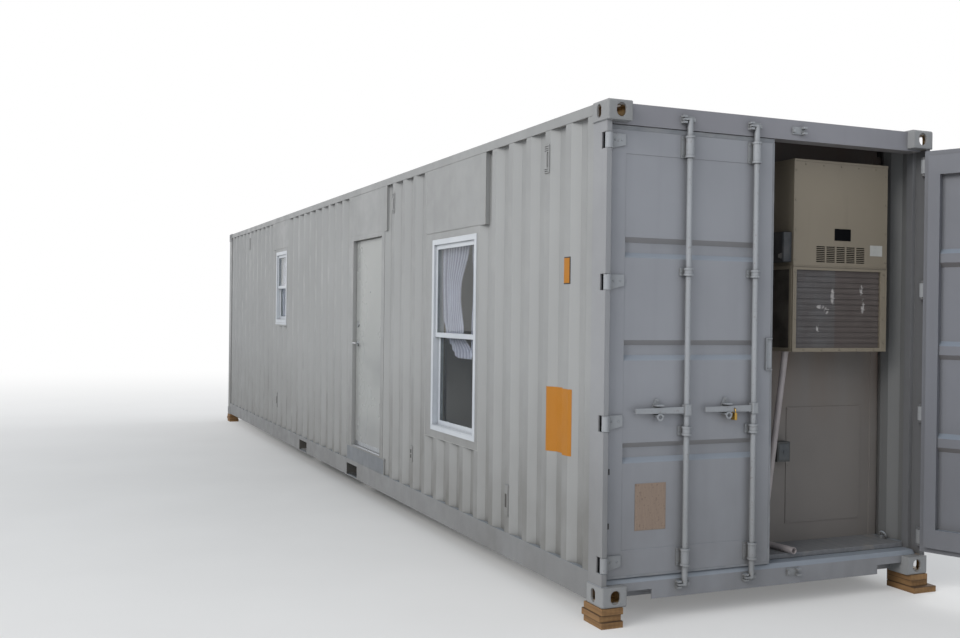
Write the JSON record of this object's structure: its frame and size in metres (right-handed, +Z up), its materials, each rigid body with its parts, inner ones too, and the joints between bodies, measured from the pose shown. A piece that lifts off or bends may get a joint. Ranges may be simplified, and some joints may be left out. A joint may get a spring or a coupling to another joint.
{
  "type": "shipping container cabin",
  "caption": "Corrugated steel high-cube container fitted out as a cabin, with a door, two sash windows and an open plant bay behind one cargo leaf.",
  "frame": {"origin": "On the ground under the middle of the overall box, with the right cargo leaf open as in the picture.", "axes": "+Z up; +X along the container towards the cargo doors; -Y is the long side with the door and windows."},
  "size_m": [13.2696, 2.872, 3.01],
  "materials": {
    "side_paint": "satin",
    "door_end_paint": "satin",
    "frame_paint": "satin",
    "hardware_paint": "satin",
    "underframe_paint": "matte",
    "timber": "matte",
    "floor_board": "matte",
    "lining_board": "matte",
    "window_vinyl": "satin",
    "window_pane": "gloss",
    "curtain_cloth": "matte",
    "door_paint": "satin",
    "lock_metal": "satin",
    "unit_enamel": "satin",
    "coil_metal": "matte",
    "bulkhead_paint": "satin",
    "dark_plastic": "matte",
    "pipe_plastic": "satin",
    "padlock_brass": "satin"
  },
  "bodies": {
    "container": {"corner_blocks": "timber", "bottom_corner_castings": "frame_paint", "top_corner_castings": "frame_paint", "door_end_posts": "door_end_paint", "closed_end_posts": "side_paint", "door_end_header": "door_end_paint", "door_end_sill": "door_end_paint", "closed_end_rails": "side_paint", "top_side_rails": "side_paint", "bottom_side_rails": "side_paint", "cross_members": "underframe_paint", "fork_pocket_plates": "underframe_paint", "floor": "floor_board", "roof": "side_paint", "front_wall": "side_paint", "back_wall": "side_paint", "end_wall": "side_paint", "near_window_panel": "side_paint", "far_window_panel": "side_paint", "door_panels": "side_paint", "inner_lining": "lining_board", "near_window_frame": "window_vinyl", "far_window_frame": "window_vinyl", "window_glass": "window_pane", "near_curtain": "curtain_cloth", "far_curtain": "curtain_cloth", "curtain_rods": "lock_metal", "door_frame": "side_paint", "bar_keepers": "hardware_paint", "bulkhead": "bulkhead_paint", "service_panel": "bulkhead_paint", "air_conditioner": "unit_enamel", "coil_grille": "coil_metal", "disconnect_box": "dark_plastic", "unit_switch_box": "hardware_paint", "drain_pipe": "pipe_plastic", "wall_vents": "side_paint", "service_inlets": "side_paint", "lashing_rings": "hardware_paint"},
    "left_leaf": {"left_leaf": "door_end_paint", "left_leaf_hinges": "hardware_paint", "left_leaf_fittings": "hardware_paint"},
    "left_outer_bar": {"left_lock_bar_outer": "hardware_paint", "left_outer_bar_fittings": "hardware_paint"},
    "left_inner_bar": {"left_lock_bar_inner": "hardware_paint", "left_inner_bar_fittings": "hardware_paint", "padlock": "padlock_brass"},
    "right_leaf": {"right_leaf": "door_end_paint", "right_leaf_hinges": "hardware_paint", "right_leaf_fittings": "hardware_paint"},
    "right_outer_bar": {"right_lock_bar_outer": "hardware_paint", "right_outer_bar_fittings": "hardware_paint"},
    "right_inner_bar": {"right_lock_bar_inner": "hardware_paint", "right_inner_bar_fittings": "hardware_paint"},
    "door_leaf": {"door_leaf": "door_paint", "door_lock": "lock_metal"},
    "door_lever": {"door_lever": "lock_metal"}
  },
  "joints": [
    {"name": "left_leaf_hinge", "type": "hinge", "parent": "container", "child": "left_leaf", "pos_m": [5.5172, -1.40173, 1.562], "axis": [0, 0, -1], "range_deg": [0, 250]},
    {"name": "right_leaf_hinge", "type": "hinge", "parent": "container", "child": "right_leaf", "pos_m": [5.5172, 0.97227, 1.562], "axis": [0, 0, 1], "range_deg": [-113, 137]},
    {"name": "door_hinge", "type": "hinge", "parent": "container", "child": "door_leaf", "pos_m": [1.3892, -1.39573, 1.47], "axis": [0, 0, 1], "range_deg": [0, 100]},
    {"name": "door_lever_turn", "type": "hinge", "parent": "door_leaf", "child": "door_lever", "pos_m": [0.5482, -1.36523, 1.471], "axis": [0, 1, 0], "range_deg": [0, 45]},
    {"name": "left_outer_bar_turn", "type": "hinge", "parent": "left_leaf", "child": "left_outer_bar", "pos_m": [5.5212, -0.85673, 1.562], "axis": [0, 0, 1], "range_deg": [0, 150]},
    {"name": "right_outer_bar_turn", "type": "hinge", "parent": "right_leaf", "child": "right_outer_bar", "pos_m": [6.01732, 1.1889, 1.562], "axis": [0, 0, -1], "range_deg": [0, 150]},
    {"name": "left_inner_bar_turn", "type": "hinge", "parent": "left_leaf", "child": "left_inner_bar", "pos_m": [5.5212, -0.37573, 1.562], "axis": [0, 0, 1], "range_deg": [0, 150]},
    {"name": "right_inner_bar_turn", "type": "hinge", "parent": "right_leaf", "child": "right_inner_bar", "pos_m": [6.46008, 1.37685, 1.562], "axis": [0, 0, -1], "range_deg": [0, 150]}
  ]
}
